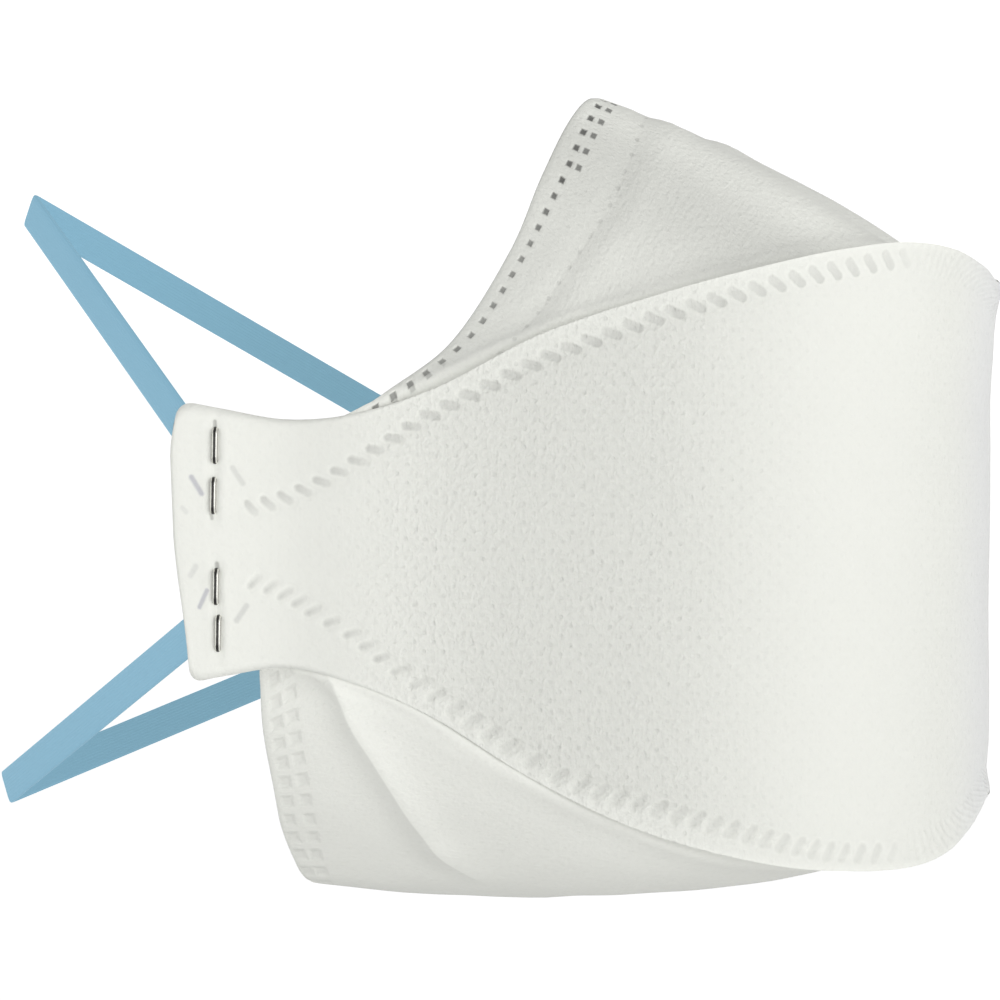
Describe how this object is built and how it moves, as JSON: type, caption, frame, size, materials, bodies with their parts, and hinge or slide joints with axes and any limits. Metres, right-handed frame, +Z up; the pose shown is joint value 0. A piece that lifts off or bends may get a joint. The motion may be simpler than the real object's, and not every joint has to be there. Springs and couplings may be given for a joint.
{
  "type": "disposable respirator",
  "caption": "White fold-flat half-mask respirator of three welded cloth panels, opened to its worn shape, with blue elastic head straps stapled to side tabs.",
  "frame": {"origin": "face seat: midway between the two side tabs, level with their middle, where the face meets the mask", "axes": "+Z up the face, -Y forwards out of the front of the mask, +X across it towards the wearer's left"},
  "size_m": [0.1026, 0.1276, 0.0963],
  "materials": {
    "central_cloth": "soft white non-woven cover web with a fine point-bond pattern, welded along both edges",
    "upper_cloth": "off-white fibrous non-woven cloth, matt, with faint streaks and a welded hem",
    "lower_cloth": "off-white non-woven cloth, matt, with two rows of weld spots along its free edge",
    "elastic": "sky-blue flat elastic band, matt, fine lengthwise grain",
    "staple_wire": "bright drawn steel wire"
  },
  "bodies": {
    "root": {"central_panel": "central_cloth", "upper_panel": "upper_cloth", "lower_panel": "lower_cloth", "upper_strap": "elastic", "lower_strap": "elastic", "staple_left_1": "staple_wire", "staple_left_2": "staple_wire", "staple_left_3": "staple_wire", "staple_left_4": "staple_wire", "staple_right_1": "staple_wire", "staple_right_2": "staple_wire", "staple_right_3": "staple_wire", "staple_right_4": "staple_wire"}
  },
  "joints": []
}
